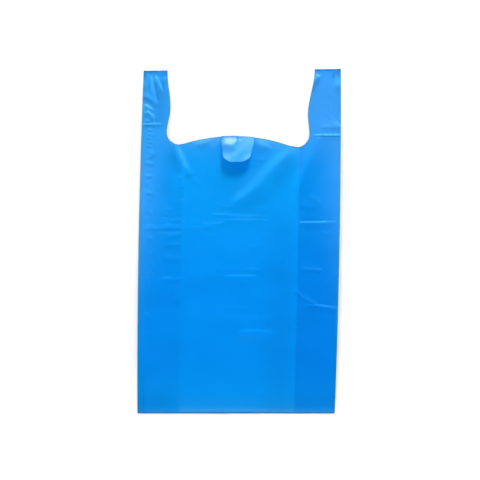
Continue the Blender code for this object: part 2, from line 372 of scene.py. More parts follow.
CREASES = (
    # Soft swells under the mouth.
    ([(-72, 96), (-77, 106), (-83, 117), (-88, 130), (-95, 142), (-101, 152)], 1.5, 4.4, 3.6),
    ([(-58, 84), (-68, 92), (-79, 106)], 0.5, 5, 3.6),
    ([(-68, 143), (-36, 152)], 0.7, 4, 4),
    ([(-22, -63), (28, -63)], 0.3, 9, 16),
    ([(24, 150), (48, 137)], 0.7, 4, 5),
    ([(44, 146), (53, 139)], -0.7, 2.5, 2.5),
    ([(19, 121), (43, 120)], 0.4, 4, 1.5),
    ([(18, 115), (31, 115)], 0.3, 1.8, 3),
    # Folds that run in from the left handle's side edge.
    ([(-152, 218), (-144, 216), (-136, 214), (-127, 207), (-121, 200)], 1.0, 5.0, 3.2),
    ([(-144, 202.5), (-139, 201), (-134.5, 198.5), (-127, 193)], 1.0, 2.4, 3.0),
    ([(-141, 192.5), (-136, 192), (-130.5, 187.5), (-127.5, 180)], 1.6, 2.2, 3.0),
    ([(-142, 179.6), (-137, 179.8), (-131, 177)], 0.7, 1.8, 2.0),
    ([(-154, 172.5), (-137, 174), (-114, 174)], 0.9, 1.4, 2.2),
    # The right handle.
    ([(121, 250), (114, 239), (104, 222)], 1.2, 4.0, 4.0),
    ([(139, 235), (150, 232), (162, 226)], 1.3, 9.0, 7.0),
    ([(110, 157.6), (170, 157.6)], 0.42, 1.0, 1.5),
    ([(122, 157.7), (172, 157.7)], 0.40, 1.0, 1.5),
    ([(114, 152.6), (158, 152.6)], 0.2, 1.2, 1.8),
    ([(120, 170), (158, 169)], 0.4, 4.0, 2.2),
    ([(134, 177), (158, 169)], 0.7, 5.0, 4.0),
    ([(132, 215), (139, 215)], 0.35, 1.6, 2.0),
    ([(133, 203), (138, 201)], 0.35, 1.6, 2.0),
    ([(133, 197), (138, 197)], 0.3, 1.6, 2.0),
    ([(134, 184), (139, 183)], 0.3, 1.6, 2.0),
    # Short creases at the left edge.
    ([(-135, 132), (-125, 127)], 0.9, 3.0, 2.0),
    ([(-140, 126.2), (-126, 125)], 0.45, 1.8, 1.8),
    ([(-141, 117.6), (-127, 114.6)], 0.7, 2.4, 2.0),
    ([(-143, 98), (-127, 96)], 0.5, 2.4, 2.0),
    ([(-143, 73), (-123, 68)], 0.6, 8.0, 2.0),
    ([(-140, 84), (-131, 86)], 0.5, 2.0, 2.0),
    # Over the left gusset.
    ([(-112, 47), (-99, 48)], 0.25, 2.0, 3.0),
    ([(-119, 41), (-87, 34)], 0.3, 4.0, 1.4),
    ([(-106, 31), (-84, 31)], 0.3, 1.6, 2.4),
    ([(-111, 23), (-96, 23)], 0.25, 2.0, 3.0),
    ([(-143, 18), (-112, 18), (-84, 18)], 0.4, 4.0, 1.3),
    ([(-111, 8), (-88, 8)], 0.25, 2.0, 3.0),
    ([(-111, -6), (-86, -6)], 0.3, 4.0, 1.8),
    ([(-112, -23), (-87, -29)], 0.3, 2.0, 4.0),
    ([(-118, -56), (-83, -56)], 0.4, 1.4, 4.0),
    ([(-102, -91), (-85, -86)], 0.25, 1.6, 3.0),
    ([(-118, -110), (-96, -110)], 0.15, 2.0, 3.0),
    ([(-143, -262), (-144, -200)], -0.6, 3.0, 5.0),
    # Between the gussets.
    ([(-41, 40), (-9, 37), (43, 36)], 0.3, 1.4, 2.2),
    ([(-51, 24), (-28, 26), (-22, 31), (43, 30)], 0.3, 1.4, 2.2),
    ([(-76, 21), (-32, 20)], 0.2, 1.6, 2.4),
    ([(20, 26), (37, 26)], 0.2, 1.5, 2.4),
    ([(12, -9), (33, -9)], 0.25, 1.8, 2.4),
    ([(10, -41.8), (30, -41.8)], 0.4, 1.6, 6.0),
    ([(-24, -48.6), (28, -48.6)], -0.12, 1.4, 1.4),
    ([(-24, -52.6), (30, -52.6)], 0.35, 1.5, 10.0),
    ([(-22, -99), (18, -99)], 0.15, 1.6, 3.0),
    ([(-20, -114), (54, -115)], 0.15, 1.6, 3.0),
    ([(-2, -124), (56, -120)], 0.12, 8.0, 5.0),
    ([(-6, -136), (28, -134.5), (39, -136.6), (57, -137)], 0.6, 2.6, 14.0),
    # Over the right gusset.
    ([(102, 66), (120, 62)], 0.5, 4.0, 3.0),
    ([(91, 54), (104, 49), (117, 53)], 0.35, 4.0, 2.4),
    ([(87, 26.9), (104, 27.2), (118, 27.4), (130, 27.9), (146, 28.3)], 0.4, 1.5, 4.0),
    ([(120, 14), (132, 11), (139, 18)], 0.35, 3.0, 2.4),
    ([(92, -31), (124, -44)], 0.25, 1.8, 3.0),
    ([(88, -44), (123, -45)], 0.3, 5.0, 1.4),
    ([(82, -71), (94, -82), (116, -93)], 0.6, 1.6, 2.6),
    ([(98, -95.4), (116, -96.0), (125, -97.0), (134, -98.3), (152, -101.6)], 0.42, 1.3, 4.0),
    ([(100, -132), (118, -144)], 0.15, 3.0, 3.0),
    ([(84, -73), (85, -80)], 0.3, 2.0, 2.0),
    ([(78, -131), (91, -131)], 0.3, 1.8, 2.0),
)

# Corners of the handles' welded ends that curl up from the floor: (x, y, height, reach), in millimetres.
CURLS = (
    (-113, 257, 2.2, 9),
    (-140, 256, 1.4, 9),
    (149, 259, 3.2, 10),
    (123, 258, 0.7, 6),
)

# Streaks of painted light along the front panel's creases and folds: a painted highlight where the strength
# is above 0 and painted shade below 0. Each is (points, strength, width to the left, width to the right),
# as above.
PAINTED_LIGHT_STREAKS = (
    ([(-125.5, 249), (-121.8, 240), (-114, 221)], 0.30, 1.3, 1.3),
    ([(-132, 247), (-129.5, 238), (-128.4, 228), (-126.4, 219), (-124, 208)], 0.36, 1.3, 1.3),
    ([(-124, 241), (-122, 226), (-119, 208)], -0.13, 2.4, 2.4),
    ([(-114, 243), (-112, 224)], -0.22, 2.6, 2.6),
    ([(-141, 258), (-141, 240)], -0.35, 2.0, 2.0),
    ([(-138, 255), (-134, 244)], 0.36, 1.5, 1.5),
    ([(-152, 251.5), (-95, 251.5)], -0.32, 4.0, 4.0),
    ([(-120.5, 258), (-120.5, 247)], -0.35, 1.4, 1.4),
    ([(-117.4, 258), (-117.4, 248)], 0.28, 1.4, 1.4),
    ([(-117, 250.6), (-96, 250.6)], -0.40, 3.2, 3.4),
    ([(-142, 236), (-142, 212)], -0.15, 3.0, 3.0),
    ([(-116, 228), (-117, 200), (-116, 166)], -0.20, 9.0, 9.0),
    ([(-146, 213.5), (-139, 211.8), (-131, 208.5), (-127, 205)], -0.38, 2.0, 2.0),
    ([(-141.5, 206), (-142, 193)], 0.14, 5.0, 5.0),
    ([(-143, 206.5), (-139, 204), (-134.5, 200.5), (-129, 196.5)], 0.28, 1.2, 1.2),
    ([(-137, 193), (-130.5, 188.5), (-127.5, 182), (-126, 173)], 0.25, 1.4, 1.4),
    ([(-144, 186.5), (-133, 187.5)], -0.20, 2.0, 2.0),
    ([(-143, 171.5), (-124, 172.3)], -0.25, 1.5, 1.5),
    ([(113.5, 258), (116, 247)], 0.12, 3.4, 3.4),
    ([(120, 246), (114.5, 236), (108, 223)], -0.25, 2.8, 2.8),
    ([(118, 254.5), (128, 254.5)], -0.35, 1.6, 1.6),
    ([(140.8, 254), (140.8, 240)], -0.40, 1.5, 1.5),
    ([(145, 252), (152, 251)], -0.35, 3.0, 4.0),
    ([(151, 246), (151, 228)], 0.25, 3.0, 6.0),
    ([(108, 158.9), (172, 158.9)], 0.48, 0.9, 0.9),
    ([(124, 158.9), (174, 158.9)], 0.52, 0.9, 0.9),
    ([(96, 144), (140, 144)], -0.11, 6.0, 8.0),
    ([(118, 156), (168, 156)], -0.45, 1.1, 1.1),
    ([(118, 151.2), (160, 151.2)], -0.15, 1.2, 1.2),
    ([(-94, 138), (-87.5, 128), (-82.5, 117), (-77, 107)], 0.26, 5.0, 3.0),
    ([(-91, 142), (-88, 132), (-83.5, 121), (-80.5, 111)], 0.30, 1.5, 1.8),
    ([(-100, 136), (-94, 114), (-90, 97)], -0.16, 5.0, 7.0),
    ([(-102, 160), (-106, 120), (-110, 60)], -0.10, 10.0, 12.0),
    ([(-48, 147), (-31, 142)], 0.35, 4.5, 4.5),
    ([(22, 147), (42, 142)], 0.30, 5.0, 5.0),
    ([(44, 144), (55, 139)], -0.12, 2.4, 2.4),
    ([(8, 80), (36, 104), (62, 131)], 0.06, 9.0, 7.0),
    ([(44, 76), (62, 97), (80, 118), (94, 132)], -0.13, 13.0, 13.0),
    ([(58, 112), (72, 124), (84, 132)], -0.16, 9.0, 9.0),
    ([(91, 141), (94, 136)], -0.40, 3.0, 3.0),
    ([(66, 60), (65, -80), (63, -300)], -0.14, 20.0, 28.0),
    ([(88, 28.6), (104, 28.8), (118, 28.9), (132, 29.5)], 0.47, 1.1, 1.2),
    ([(124, 29.3), (134, 29.7), (148, 29.8)], 0.22, 1.0, 1.0),
    ([(94, 18), (140, 18)], -0.12, 3.0, 4.0),
    ([(108, 50), (108, -14)], -0.07, 16.0, 16.0),
    ([(-20, -50.4), (30, -50.4)], 0.06, 1.4, 1.4),
    ([(-6, -141), (50, -141)], 0.06, 3.0, 12.0),
    ([(86, -98), (124, -98)], -0.09, 3.0, 12.0),
    ([(-143.5, -200), (-143, -262)], -0.20, 2.2, 2.2),
    ([(-190, -244), (-85, -244)], -0.13, 20.0, 30.0),
)

# Faint thin streaks of painted highlight (strength above 0) and painted shade (below 0), all of one width:
# (points, strength).
PAINTED_STREAK_WIDTH = 1.3
FAINT_PAINTED_STREAKS = (
    ([(-116, 48.7), (-98, 48.7)], 0.08),
    ([(-116, 42), (-99, 39.5), (-84, 37)], -0.18),
    ([(-118, 35.6), (-84, 33.6)], 0.13),
    ([(-116, 25), (-84, 25)], 0.08),
    ([(-122, 20), (-83, 19.3)], -0.20),
    ([(-122, 13), (-83, 12.9)], 0.18),
    ([(-106, 7), (-84, 7)], -0.10),
    ([(-106, -3.5), (-84, -3.5)], 0.08),
    ([(-114, -9.2), (-84, -8.2)], -0.12),
    ([(-114, -18), (-84, -25)], 0.08),
    ([(-106, -28), (-84, -29.5)], -0.08),
    ([(-118, -52.8), (-98, -52.8)], 0.12),
    ([(-146, 43), (-130, 43)], -0.10),
    ([(-146, 36.8), (-130, 36.8)], 0.12),
    ([(-145, -48), (-131, -48)], 0.08),
    ([(-145, -108), (-131, -108)], 0.09),
    ([(-145, -136), (-131, -136)], 0.07),
    ([(-91, 118.5), (-82, 118.5)], -0.14),
    ([(-92, 96.6), (-83, 96.6)], 0.18),
    ([(-92, 78.9), (-79, 78.9)], -0.24),
    ([(-92, 66.8), (-79, 66.8)], -0.15),
    ([(-92, 62), (-79, 62)], 0.14),
    ([(-72, 24.6), (-52, 24.6)], -0.10),
    ([(-72, 18.9), (-52, 18.9)], 0.08),
    ([(-58, 27.8), (-22, 27.8)], 0.10),
    ([(-56, 20.6), (-38, 20.6)], -0.09),
    ([(-44, 41.2), (-16, 40.6), (10, 39.8), (34, 39.8)], 0.12),
    ([(-30, 53.2), (-6, 53.2)], 0.09),
    ([(-30, 48.7), (-6, 48.7)], -0.20),
    ([(-14, 44), (20, 42.8), (46, 42.8)], -0.16),
    ([(-30, 38), (-8, 38)], -0.16),
    ([(16, 36.8), (46, 36.8)], -0.16),
    ([(-14, 33.8), (24, 33.6), (48, 32.8)], 0.16),
    ([(17, 30.4), (38, 30.4)], -0.16),
    ([(17, -9.6), (38, -9.6)], -0.10),
    ([(17, -42.4), (38, -42.4)], 0.08),
    ([(92, 58.8), (124, 62.4)], 0.11),
    ([(92, 51.5), (124, 55)], -0.12),
    ([(98, 67.5), (124, 69)], -0.10),
    ([(90, 32), (142, 33.2)], -0.13),
    ([(120, 35.3), (150, 35.3)], 0.09),
    ([(90, -38.6), (126, -43)], 0.11),
    ([(90, -43.4), (126, -47.4)], -0.10),
    ([(84, -74), (96, -84), (118, -95)], 0.10),
    ([(112, -94.6), (125, -95.9), (134, -97.3), (154, -100.7)], 0.20),
)

# Painted sheen on parts of the front panel, away from its mouth, in the same form.
PAINTED_SHEEN_STREAKS = (
    ([(-10, 60), (20, 88), (48, 113), (70, 131)], 0.12, 12.0, 10.0),
    ([(68, 141), (78, 139.5), (87, 136.5)], 0.25, 3.0, 3.0),
    ([(100, 146), (94, 126), (90, 95)], 0.08, 5.0, 6.0),
)


def bell(share):
    """The smooth profile across a crease: 1 on its line, dying out from one width away."""
    return np.exp(-(share**2))


def roof(share):
    """The profile across a fold: straight slopes from 1 on its line to 0 one width away, rounded at both by
    the roots of squares with a little added."""
    slope = 1 - np.sqrt(share**2 + 0.012)
    return (slope + np.sqrt(slope**2 + 0.02)) / 2


def crease_height(x, y, points, height, left, right, profile=bell, narrow=1.0, fade=5):
    """Height of one crease at each place, in metres.

    Across the crease it follows the profile, with its own width on each side. A narrow one starts with that
    share of its width and has all of it from half its length on. Along the crease, the height rises from
    nothing and dies out again within the fade, most of its width if that is more, or a third of its length
    if that is less.
    """
    nearest = np.full(x.shape, np.inf)
    across, along = np.zeros_like(x), np.zeros_like(x)
    points = np.array(points, float) * MM
    passed = 0.0
    for start, end in zip(points[:-1], points[1:], strict=True):
        step = end - start
        length = math.hypot(*step)
        way = step / length
        ahead = (x - start[0]) * way[0] + (y - start[1]) * way[1]
        beside = (y - start[1]) * way[0] - (x - start[0]) * way[1]
        short = ahead - np.clip(ahead, 0, length)
        distance = np.hypot(beside, short)
        closer = distance < nearest
        nearest = np.where(closer, distance, nearest)
        across = np.where(closer, np.where(beside < 0, -distance, distance), across)
        along = np.where(closer, passed + np.clip(ahead, 0, length), along)
        passed += length
    width = np.where(across > 0, left, right) * MM
    width = width * (narrow + (1 - narrow) * np.clip(2 * along / passed, 0, 1))
    fade = min(passed / 3, max(fade, 0.8 * (left + right)) * MM)
    ends = eased(np.minimum(along, passed - along) / fade)
    return height * MM * ends * profile(across / width)


# The column of short crinkles up the left edge, in millimetres.
CRINKLES_TOP, LADDER_END, DENSE_END, CRINKLES_END = 166.0, 136, 70, -145
CRINKLES_X = -133


def side_crinkles(x, y):
    """A column of short crinkles up the left edge: a ladder of slanted ones by the handle, and further down
    rarer and weaker ones, slanted at random."""
    random = np.random.default_rng(4)
    total = np.zeros_like(x)
    level = CRINKLES_TOP
    while level > CRINKLES_END:
        ladder = level > LADDER_END
        reach = 4.5 if ladder else random.uniform(2.5, 6.0)
        angle = -0.45 if ladder else random.normal(-0.15, 0.4)
        centre = np.array([CRINKLES_X + random.normal(0, 0.5 if ladder else 1.5), level])
        ends = reach * np.array([math.cos(angle), math.sin(angle)])
        height = 0.7 if ladder else random.uniform(0.2, 0.5)
        width = 1.1 if ladder else 1.5
        total += crease_height(x, y, [centre - ends, centre + ends], height, width, 1.6 * width)
        level -= random.uniform(5.5, 7.5) * (1.0 if ladder else 1.4 if level > DENSE_END else 3.0)
    return total


def faint_crinkles(x, y):
    """Many faint short creases, scattered evenly: the film's memory of having been handled."""
    random = np.random.default_rng(7)
    count, half_width, half_length = 170, 145, 245
    total = np.zeros_like(x)
    for _ in range(count):
        centre = random.uniform((-half_width, -half_length), (half_width, half_length))
        angle = random.normal(0, 0.45)
        reach = random.uniform(5, 17) * np.array([math.cos(angle), math.sin(angle)])
        width = random.uniform(1.8, 4.5)
        points = [centre - reach, centre + reach]
        total += crease_height(x, y, points, random.uniform(0.03, 0.12), width, width)
    return total


def undulation(x, y, seed, shortest, longest):
    """A smooth unevenness between -1 and 1 or so: a sum of plane waves of random direction, length and
    phase."""
    random = np.random.default_rng(seed)
    waves, highest = 9, 4
    total = np.zeros_like(x)
    for _ in range(waves):
        length = random.uniform(shortest, longest)
        angle = random.uniform(0, math.pi)
        phase = random.uniform(0, 2 * math.pi)
        total += np.sin(2 * math.pi * (x * math.cos(angle) + y * math.sin(angle)) / length + phase)
    return total / highest


def relief(x, y):
    """Height of the front panel's wrinkles over its smooth shape, at places of the model's frame: the sum
    of its unevenness, folds, creases and crinkles."""
    total = FRONT_UNEVENNESS * undulation(x, y, 3, 0.045, 0.110)
    for fold in FOLDS:
        total += crease_height(x, y, *fold, roof, FOLD_START)
    for crease in WELD_CREASES:
        total += crease_height(x, y, *crease, fade=WELD_CREASE_FADE)
    for crease in CREASES:
        total += crease_height(x, y, *crease)
    return total + side_crinkles(x, y) + faint_crinkles(x, y)


def painted_light_and_shade(x, y):
    """How much painted highlight, or painted shade below 0, the front panel has at places of the model's
    frame: the sum of its painted streaks, each worked out as a crease."""
    broad = sum(crease_height(x, y, *light_and_shade) for light_and_shade in PAINTED_LIGHT_STREAKS)
    faint = sum(crease_height(x, y, *light_and_shade, PAINTED_STREAK_WIDTH, PAINTED_STREAK_WIDTH) for light_and_shade in FAINT_PAINTED_STREAKS)
    return (broad + faint) / MM


def sheen_share(x, y, mouth):
    """How much painted sheen the film has at places of the model's frame, this far from the mouth's lower
    edge.

    It has it along the mouth, less so by the handles, and in a few broad streaks.
    """
    middle = eased((x - SHEEN_FROM) / 0.025) * eased((SHEEN_TO - x) / 0.030)
    streaks = sum(crease_height(x, y, *painted_sheen) for painted_sheen in PAINTED_SHEEN_STREAKS) / MM
    return (1 - eased(mouth / SHEEN_WIDTH)) * (LEAST_SHEEN + (1 - LEAST_SHEEN) * middle) + streaks


# Heights of the layers


def curled(x, y):
    """How far the whole film is lifted at places of the model's frame, where the handles' ends curl up.

    Each curl rises towards its corner as the square of a smooth step, and is a bell across.
    """
    total = np.zeros_like(x)
    for corner_x, corner_y, height, reach in CURLS:
        near = eased(1 - (corner_y * MM - y) / (reach * MM)) ** 2
        half_width = 0.6 * reach * MM
        total += height * MM * near * bell((x - corner_x * MM) / half_width)
    return total


def air_share(y):
    """How much of its air the bag keeps at a y in its own frame.

    It is all of it in the middle, less towards both ends, which are pressed flatter, and almost none in a
    welded end, which it reaches within the closing.
    """
    inside = np.minimum(y + HALF_LENGTH, HALF_LENGTH - y) - WELD_WIDTH
    most = 1 - PRESSED * eased((np.abs(y) - PRESSED_FROM) / PRESSED_OVER)
    return WELD_AIR_SHARE + (most - WELD_AIR_SHARE) * eased(inside / CLOSING)


def kept_apart(gap, least):
    """A gap that never closes: half of the gap and of the root of its square plus the least's.

    Well above the least it is left as it is, and below that it dies out softly.
    """
    return (gap + np.sqrt(gap**2 + least**2)) / 2


def gusset_fullness(x, y, seed):
    """Share of its air that a gusset has at places of the model's frame: 0.8, and a quarter of a wave."""
    return 0.8 + 0.25 * undulation(x, y, seed, 0.05, 0.09)


def layer_heights(x, y):
    """Heights of the film in the back panel, both layers of a gusset and the front panel, at places in the
    bag's frame.

    Each layer is the one below it plus the film and the air between them. The front panel lies on the
    gussets at the sides and comes down towards the back panel between them.
    """
    air = air_share(y)
    across, up = placed(x, y)
    back = FILM / 2 + air * BACK_UNEVENNESS * np.maximum(1 + undulation(across, up, 11, 0.030, 0.070), 0)
    back = back + air * np.maximum(relief(across, up + BACK_SHIFT), 0) * BACK_WRINKLES
    gusset_back = back + FILM + air * POCKET_AIR * gusset_fullness(across, up, 12)
    gusset_front = gusset_back + FILM + air * GUSSET_AIR * gusset_fullness(across, up, 13)

    over_gusset = gusset_front + FILM + air * POCKET_AIR
    between = back + FILM + air * (MIDDLE_AIR + TAB_PROP * under_tab(x, y, soft=0.012))
    tucked = eased((np.abs(x) - GUSSET_FOLD + DRAPE) / DRAPE)
    front = between + (over_gusset - between) * tucked
    from_edge = eased((HALF_WIDTH - np.abs(x)) / SIDE_HOLD)
    from_weld = eased((HALF_LENGTH - WELD_WIDTH - np.abs(y)) / WELD_HOLD)
    front = front + from_weld * relief(across, up) * (0.5 + 0.5 * from_edge)

    below = np.where(np.abs(x) > GUSSET_FOLD - GUSSET_MARGIN, gusset_front, back)
    below = below + TUCKED_HEIGHT * under_tab(x, y, soft=0.004)
    front = below + FILM + kept_apart(front - below - FILM, LEAST_AIR * np.clip(1.5 * air, 0, 1))
    return [height + curled(across, up) for height in (back, gusset_back, gusset_front, front)]


def under_tab(x, y, soft):
    """1 where the back tab is tucked in below the mouth, and 0 elsewhere, with an eased edge this wide."""
    across, up = to_punch(x, y)
    distance = -up - FOLD_DEPTH
    beside = eased((tab_half_width(distance, TAB_LENGTH) - np.abs(across)) / soft + 0.5)
    return beside * eased((TAB_LENGTH - distance) / soft + 0.5)


# The film's mesh


class Film:
    """Gathers the points and faces of a sheet. Grids that meet share the numbers of their points."""

    def __init__(self):
        self.points, self.flat, self.faces, self.count = [], [], [], 0

    def add(self, x, y, height, layer):
        """Numbers of new points, from arrays of one shape: x and y in the bag's frame, height and layer."""
        across, up = placed(x, y)
        # the front panel carries its painted highlights and shade along its creases
        return self.add_placed(across, up, height, x, y, layer, painted_light_and_shade(across, up) * (layer == FRONT))

    def add_placed(self, across, up, height, x, y, layer, light_and_shade=0.0):
        """Numbers of new points with known places on the model. x and y say where the film has them."""
        shape = np.shape(across)
        places = [np.broadcast_to(value, shape).ravel() for value in (across, up, height)]
        flat = [np.broadcast_to(value, shape).ravel() for value in (x, y, layer, light_and_shade)]
        self.points.append(np.stack(places, axis=1))
        self.flat.append(np.stack(flat, axis=1))
        numbers = np.arange(self.count, self.count + places[0].size).reshape(shape)
        self.count += places[0].size
        return numbers

    def quads(self, numbers, turned=False):
        """Faces between a grid's rows and columns of numbers. They face +Z on a flat one, unless turned."""
        self.faces.append(grid_corners(numbers[:, ::-1] if turned else numbers))

    def joined(self, fine, coarse, turned=False):
        """Faces of five corners between a column and one that has every second of its points."""
        corners = [fine[:-1:2], coarse[:-1], coarse[1:], fine[2::2], fine[1::2]]
        if turned:
            corners.reverse()
        self.faces.append(np.stack(corners, axis=1))


def side_fold_x(side, upper, lower):
    """x of two layers of these heights at a side fold: half their distance in, for its half round bend."""
    return side * (HALF_WIDTH - (upper - lower) / 2)


def bend_points(side, rim, y, upper, lower, layer, way=1):
    """x, y, height and layer of the points of a half round bend from one layer down to the next.

    side is -1 or 1, rim is how far out the bend reaches, upper and lower are the layers' heights at each y,
    and way is 1 where it bulges out from the bag and -1 where it bulges in. The radius is half the height
    between the layers. x is a radius short of the rim, plus the radius times the sine of the angle turned,
    and the height is the layers' middle plus the radius times its cosine. The bend's ends are left out.
    """
    angle = np.linspace(0, math.pi, BEND_CELLS + 1)[1:-1]
    radius = (upper - lower)[:, None] / 2
    x = side * (rim - way * radius + way * radius * np.sin(angle))
    height = (upper + lower)[:, None] / 2 + radius * np.cos(angle)
    y, layer = (np.broadcast_to(value, x.shape) for value in (y[:, None], layer - angle / math.pi))
    return x, y, height, layer


def side_ordered(grid, side):
    """A grid with its columns counted from one side edge inwards."""
    return grid[:, ::-1] if side > 0 else grid


def side_edge(low, high):
    """A layer's outermost column, from below the mouth on up the handle."""
    return np.concatenate([low[:, 0], high[1:, 0]])


def make_film_sheet():
    """The whole film as one sheet without thickness."""
    film = Film()
    x, y = lower_grid()
    heights = layer_heights(x, y)
    back_x = x.copy()
    for column, side in ((0, -1), (-1, 1)):
        back, gusset_back, gusset_front, front = (height[:, column] for height in heights)
        x[:, column] = side_fold_x(side, front, gusset_front)
        back_x[:, column] = side_fold_x(side, gusset_back, back)
    front = film.add(x, y, heights[FRONT], FRONT)
    film.quads(front)
    back = film.add(back_x[FEW, FEW], y[FEW, FEW], heights[BACK][FEW, FEW], BACK)
    film.quads(back, turned=True)
    for side in (-1, 1):
        groups = (x, back_x, y), heights, (front, back)
        add_side(film, side, *([side_ordered(grid, side) for grid in group] for group in groups))
    add_front_tab(film, front, heights[FRONT])
    add_back_tab(film, back, heights[BACK])
    return film


def add_side(film, side, places, low, panels):
    """One side of the bag: its handle in four layers, its gusset, and the folds that join them.

    places are x in front, x at the back and y of the part below the mouth, low is its layers' heights, and
    panels are its points' numbers in front and at the back. Their columns are counted from the side edge.
    """
    turned = side > 0
    low_x, low_back_x, low_y = places
    front_low, back_low = panels
    corner, edge = ((low_x[-1, column], low_y[-1, column]) for column in (HANDLE_CELLS, 0))
    x, y = handle_grid(side, corner, edge)
    high = layer_heights(x, y)
    back_x = x.copy()
    x[:, 0] = side_fold_x(side, high[FRONT][:, 0], high[GUSSET_FRONT][:, 0])
    back_x[:, 0] = side_fold_x(side, high[GUSSET_BACK][:, 0], high[BACK][:, 0])

    front_high = add_handle_layer(film, x, y, high[FRONT], FRONT, front_low)
    film.quads(front_high, turned)
    few_y = y[FEW, FEW]
    back_high = add_handle_layer(film, back_x[FEW, FEW], few_y, high[BACK][FEW, FEW], BACK, back_low)
    film.quads(back_high, not turned)
    edges = {FRONT: side_edge(front_low, front_high), BACK: side_edge(back_low, back_high)}

    fold = HANDLE_CELLS + ROOT_CELLS
    inner = (FEW, slice(None, fold + 1, COARSE))
    folds = {}
    upper, lower = (low[layer][FEW, fold] for layer in (GUSSET_FRONT, GUSSET_BACK))
    for layer, below_x, handle_x in ((GUSSET_FRONT, low_x, x), (GUSSET_BACK, low_back_x, back_x)):
        gusset_x = below_x[inner].copy()
        gusset_x[:, -1] = side * (GUSSET_FOLD + (upper - lower) / 2)
        gusset_low = film.add(gusset_x, low_y[inner], low[layer][inner], layer)
        few_x, height = handle_x[FEW, FEW], high[layer][FEW, FEW]
        gusset_high = add_handle_layer(film, few_x, few_y, height, layer, gusset_low)
        facing_down = layer == GUSSET_FRONT
        film.quads(gusset_low, turned != facing_down)
        film.quads(gusset_high, turned != facing_down)
        edges[layer] = side_edge(gusset_low, gusset_high)
        folds[layer] = gusset_low[:, -1]

    heights = [side_edge(*pair) for pair in zip(low, high, strict=True)]
    add_side_folds(film, side, side_edge(low_y, y), heights, edges)
    points = bend_points(side, GUSSET_FOLD, low_y[FEW, fold], upper, lower, GUSSET_FRONT, way=-1)
    bend = film.add(*points)
    film.quads(np.column_stack([folds[GUSSET_FRONT], bend, folds[GUSSET_BACK]]), turned)


def add_handle_layer(film, x, y, height, layer, below):
    """Numbers of one layer of a handle, whose lowest row is the highest one of the part below it."""
    numbers = film.add(x[1:], y[1:], height[1:], layer)
    return np.vstack([below[-1:, : x.shape[1]], numbers])


def add_side_folds(film, side, y, heights, edges):
    """The folds along a side edge that join each panel to its layer of the gusset.

    heights and edges hold each layer's heights there and its points' numbers. The front fold's columns have
    all the front panel's rows, then every second one, and then the gusset's.
    """
    turned = side < 0
    grids = bend_points(side, HALF_WIDTH, y, heights[FRONT], heights[GUSSET_FRONT], FRONT)
    parts = (slice(None), slice(0, 1)), (slice(None, None, 2), slice(1, 2)), (FEW, slice(2, None))
    fine, half, rest = (film.add(*(grid[part] for grid in grids)) for part in parts)
    film.quads(np.column_stack([edges[FRONT], fine]), turned)
    film.joined(fine[:, 0], half[:, 0], turned)
    film.joined(half[:, 0], rest[:, 0], turned)
    film.quads(np.column_stack([rest, edges[GUSSET_FRONT]]), turned)

    upper, lower = heights[GUSSET_BACK][FEW], heights[BACK][FEW]
    bend = film.add(*bend_points(side, HALF_WIDTH, y[FEW], upper, lower, GUSSET_BACK))
    film.quads(np.column_stack([edges[GUSSET_BACK], bend, edges[BACK]]), turned)


def tab_path(distance, turn, bend_radius, curl):
    """(y, z) of film that leaves along +Y: round a bend through the angle turn, then on along a gentle arc
    that turns by curl more over the rest of its length.

    Round both, y changes as the radius times the sine of the angle turned, and z as it times one less the
    cosine.
    """
    bend = bend_radius * turn
    angle = np.minimum(distance, bend) / bend_radius
    y = bend_radius * np.sin(angle)
    z = bend_radius * (1 - np.cos(angle))
    rest = np.maximum(distance - bend, 0)
    radius = (TAB_LENGTH - bend) / curl
    later = turn + rest / radius
    y = y + radius * (np.sin(later) - np.sin(turn)) * (rest > 0)
    z = z + radius * (np.cos(turn) - np.cos(later)) * (rest > 0)
    return y, z


def ramp(length, width):
    """A length's eased start: 0 before 0, then growing ever faster within the width, and as fast as the
    length does after it."""
    share = np.clip(length / width, 0, 1)
    return width * (share / 2 - np.sin(np.pi * share) / (2 * np.pi)) + np.maximum(length - width, 0)


def tab_crumple(across, distance):
    """(How much higher the front tab lies than its smooth shape, how much painted highlight it has there,
    with painted shade below 0).

    Its left part is crumpled: it bulges up at the fold, runs flatter than the rest down to a slanted line,
    and then follows the rest down to the tip, a little lower. It has a painted highlight above the line,
    painted shade in a band below it, and painted shade all along the fold. The numbers are in millimetres,
    with x across the tab and d down it.
    """
    x, d = across / MM, distance / MM
    edge = 1.5 - 6.0 * eased((d - 8) / 12)
    softness = 3 + 0.1 * d + 0.8 * np.maximum(d - 18, 0)
    crumpled = eased((edge - x) / softness + 0.5)
    line = 21.2 + 0.5 * (x + 8)
    line_slope, tip_slope = 0.07 - 0.005 * x, 0.1
    bulge = 3.0 * eased(d / 3) - 0.158 * ramp(d - 3, 2)
    bulge = bulge + line_slope * ramp(d - line + 3, 6) + tip_slope * ramp(d - 28, 5)
    lean = -0.12 * (x + 12) * (1 - eased((d - 14) / 14))
    pinch = -1.2 * np.exp(-(((x - 3.0) / 1.5) ** 2) - ((d - 8.0) / 2.2) ** 2)
    ripple = 0.3 * np.sin(x / 4.2 + d / 9 + 3) * np.exp(-(((d - 34) / 14) ** 2))
    lift = ((bulge + lean) * crumpled + pinch + ripple) * MM * eased(d / 2)

    above = eased((d - line + 2) / 6)
    below = eased((d - 29) / 6)
    # painted highlight above the line, painted shade in the band below it, and painted shade along the fold
    painted_light = 0.17 * (1 - above) - 0.42 * above * (1 - below)
    by_fold = 1 - eased((d - 5.5) / 3.5)
    return lift, painted_light * crumpled * (1 - by_fold) - (0.3 + 0.3 * crumpled) * by_fold


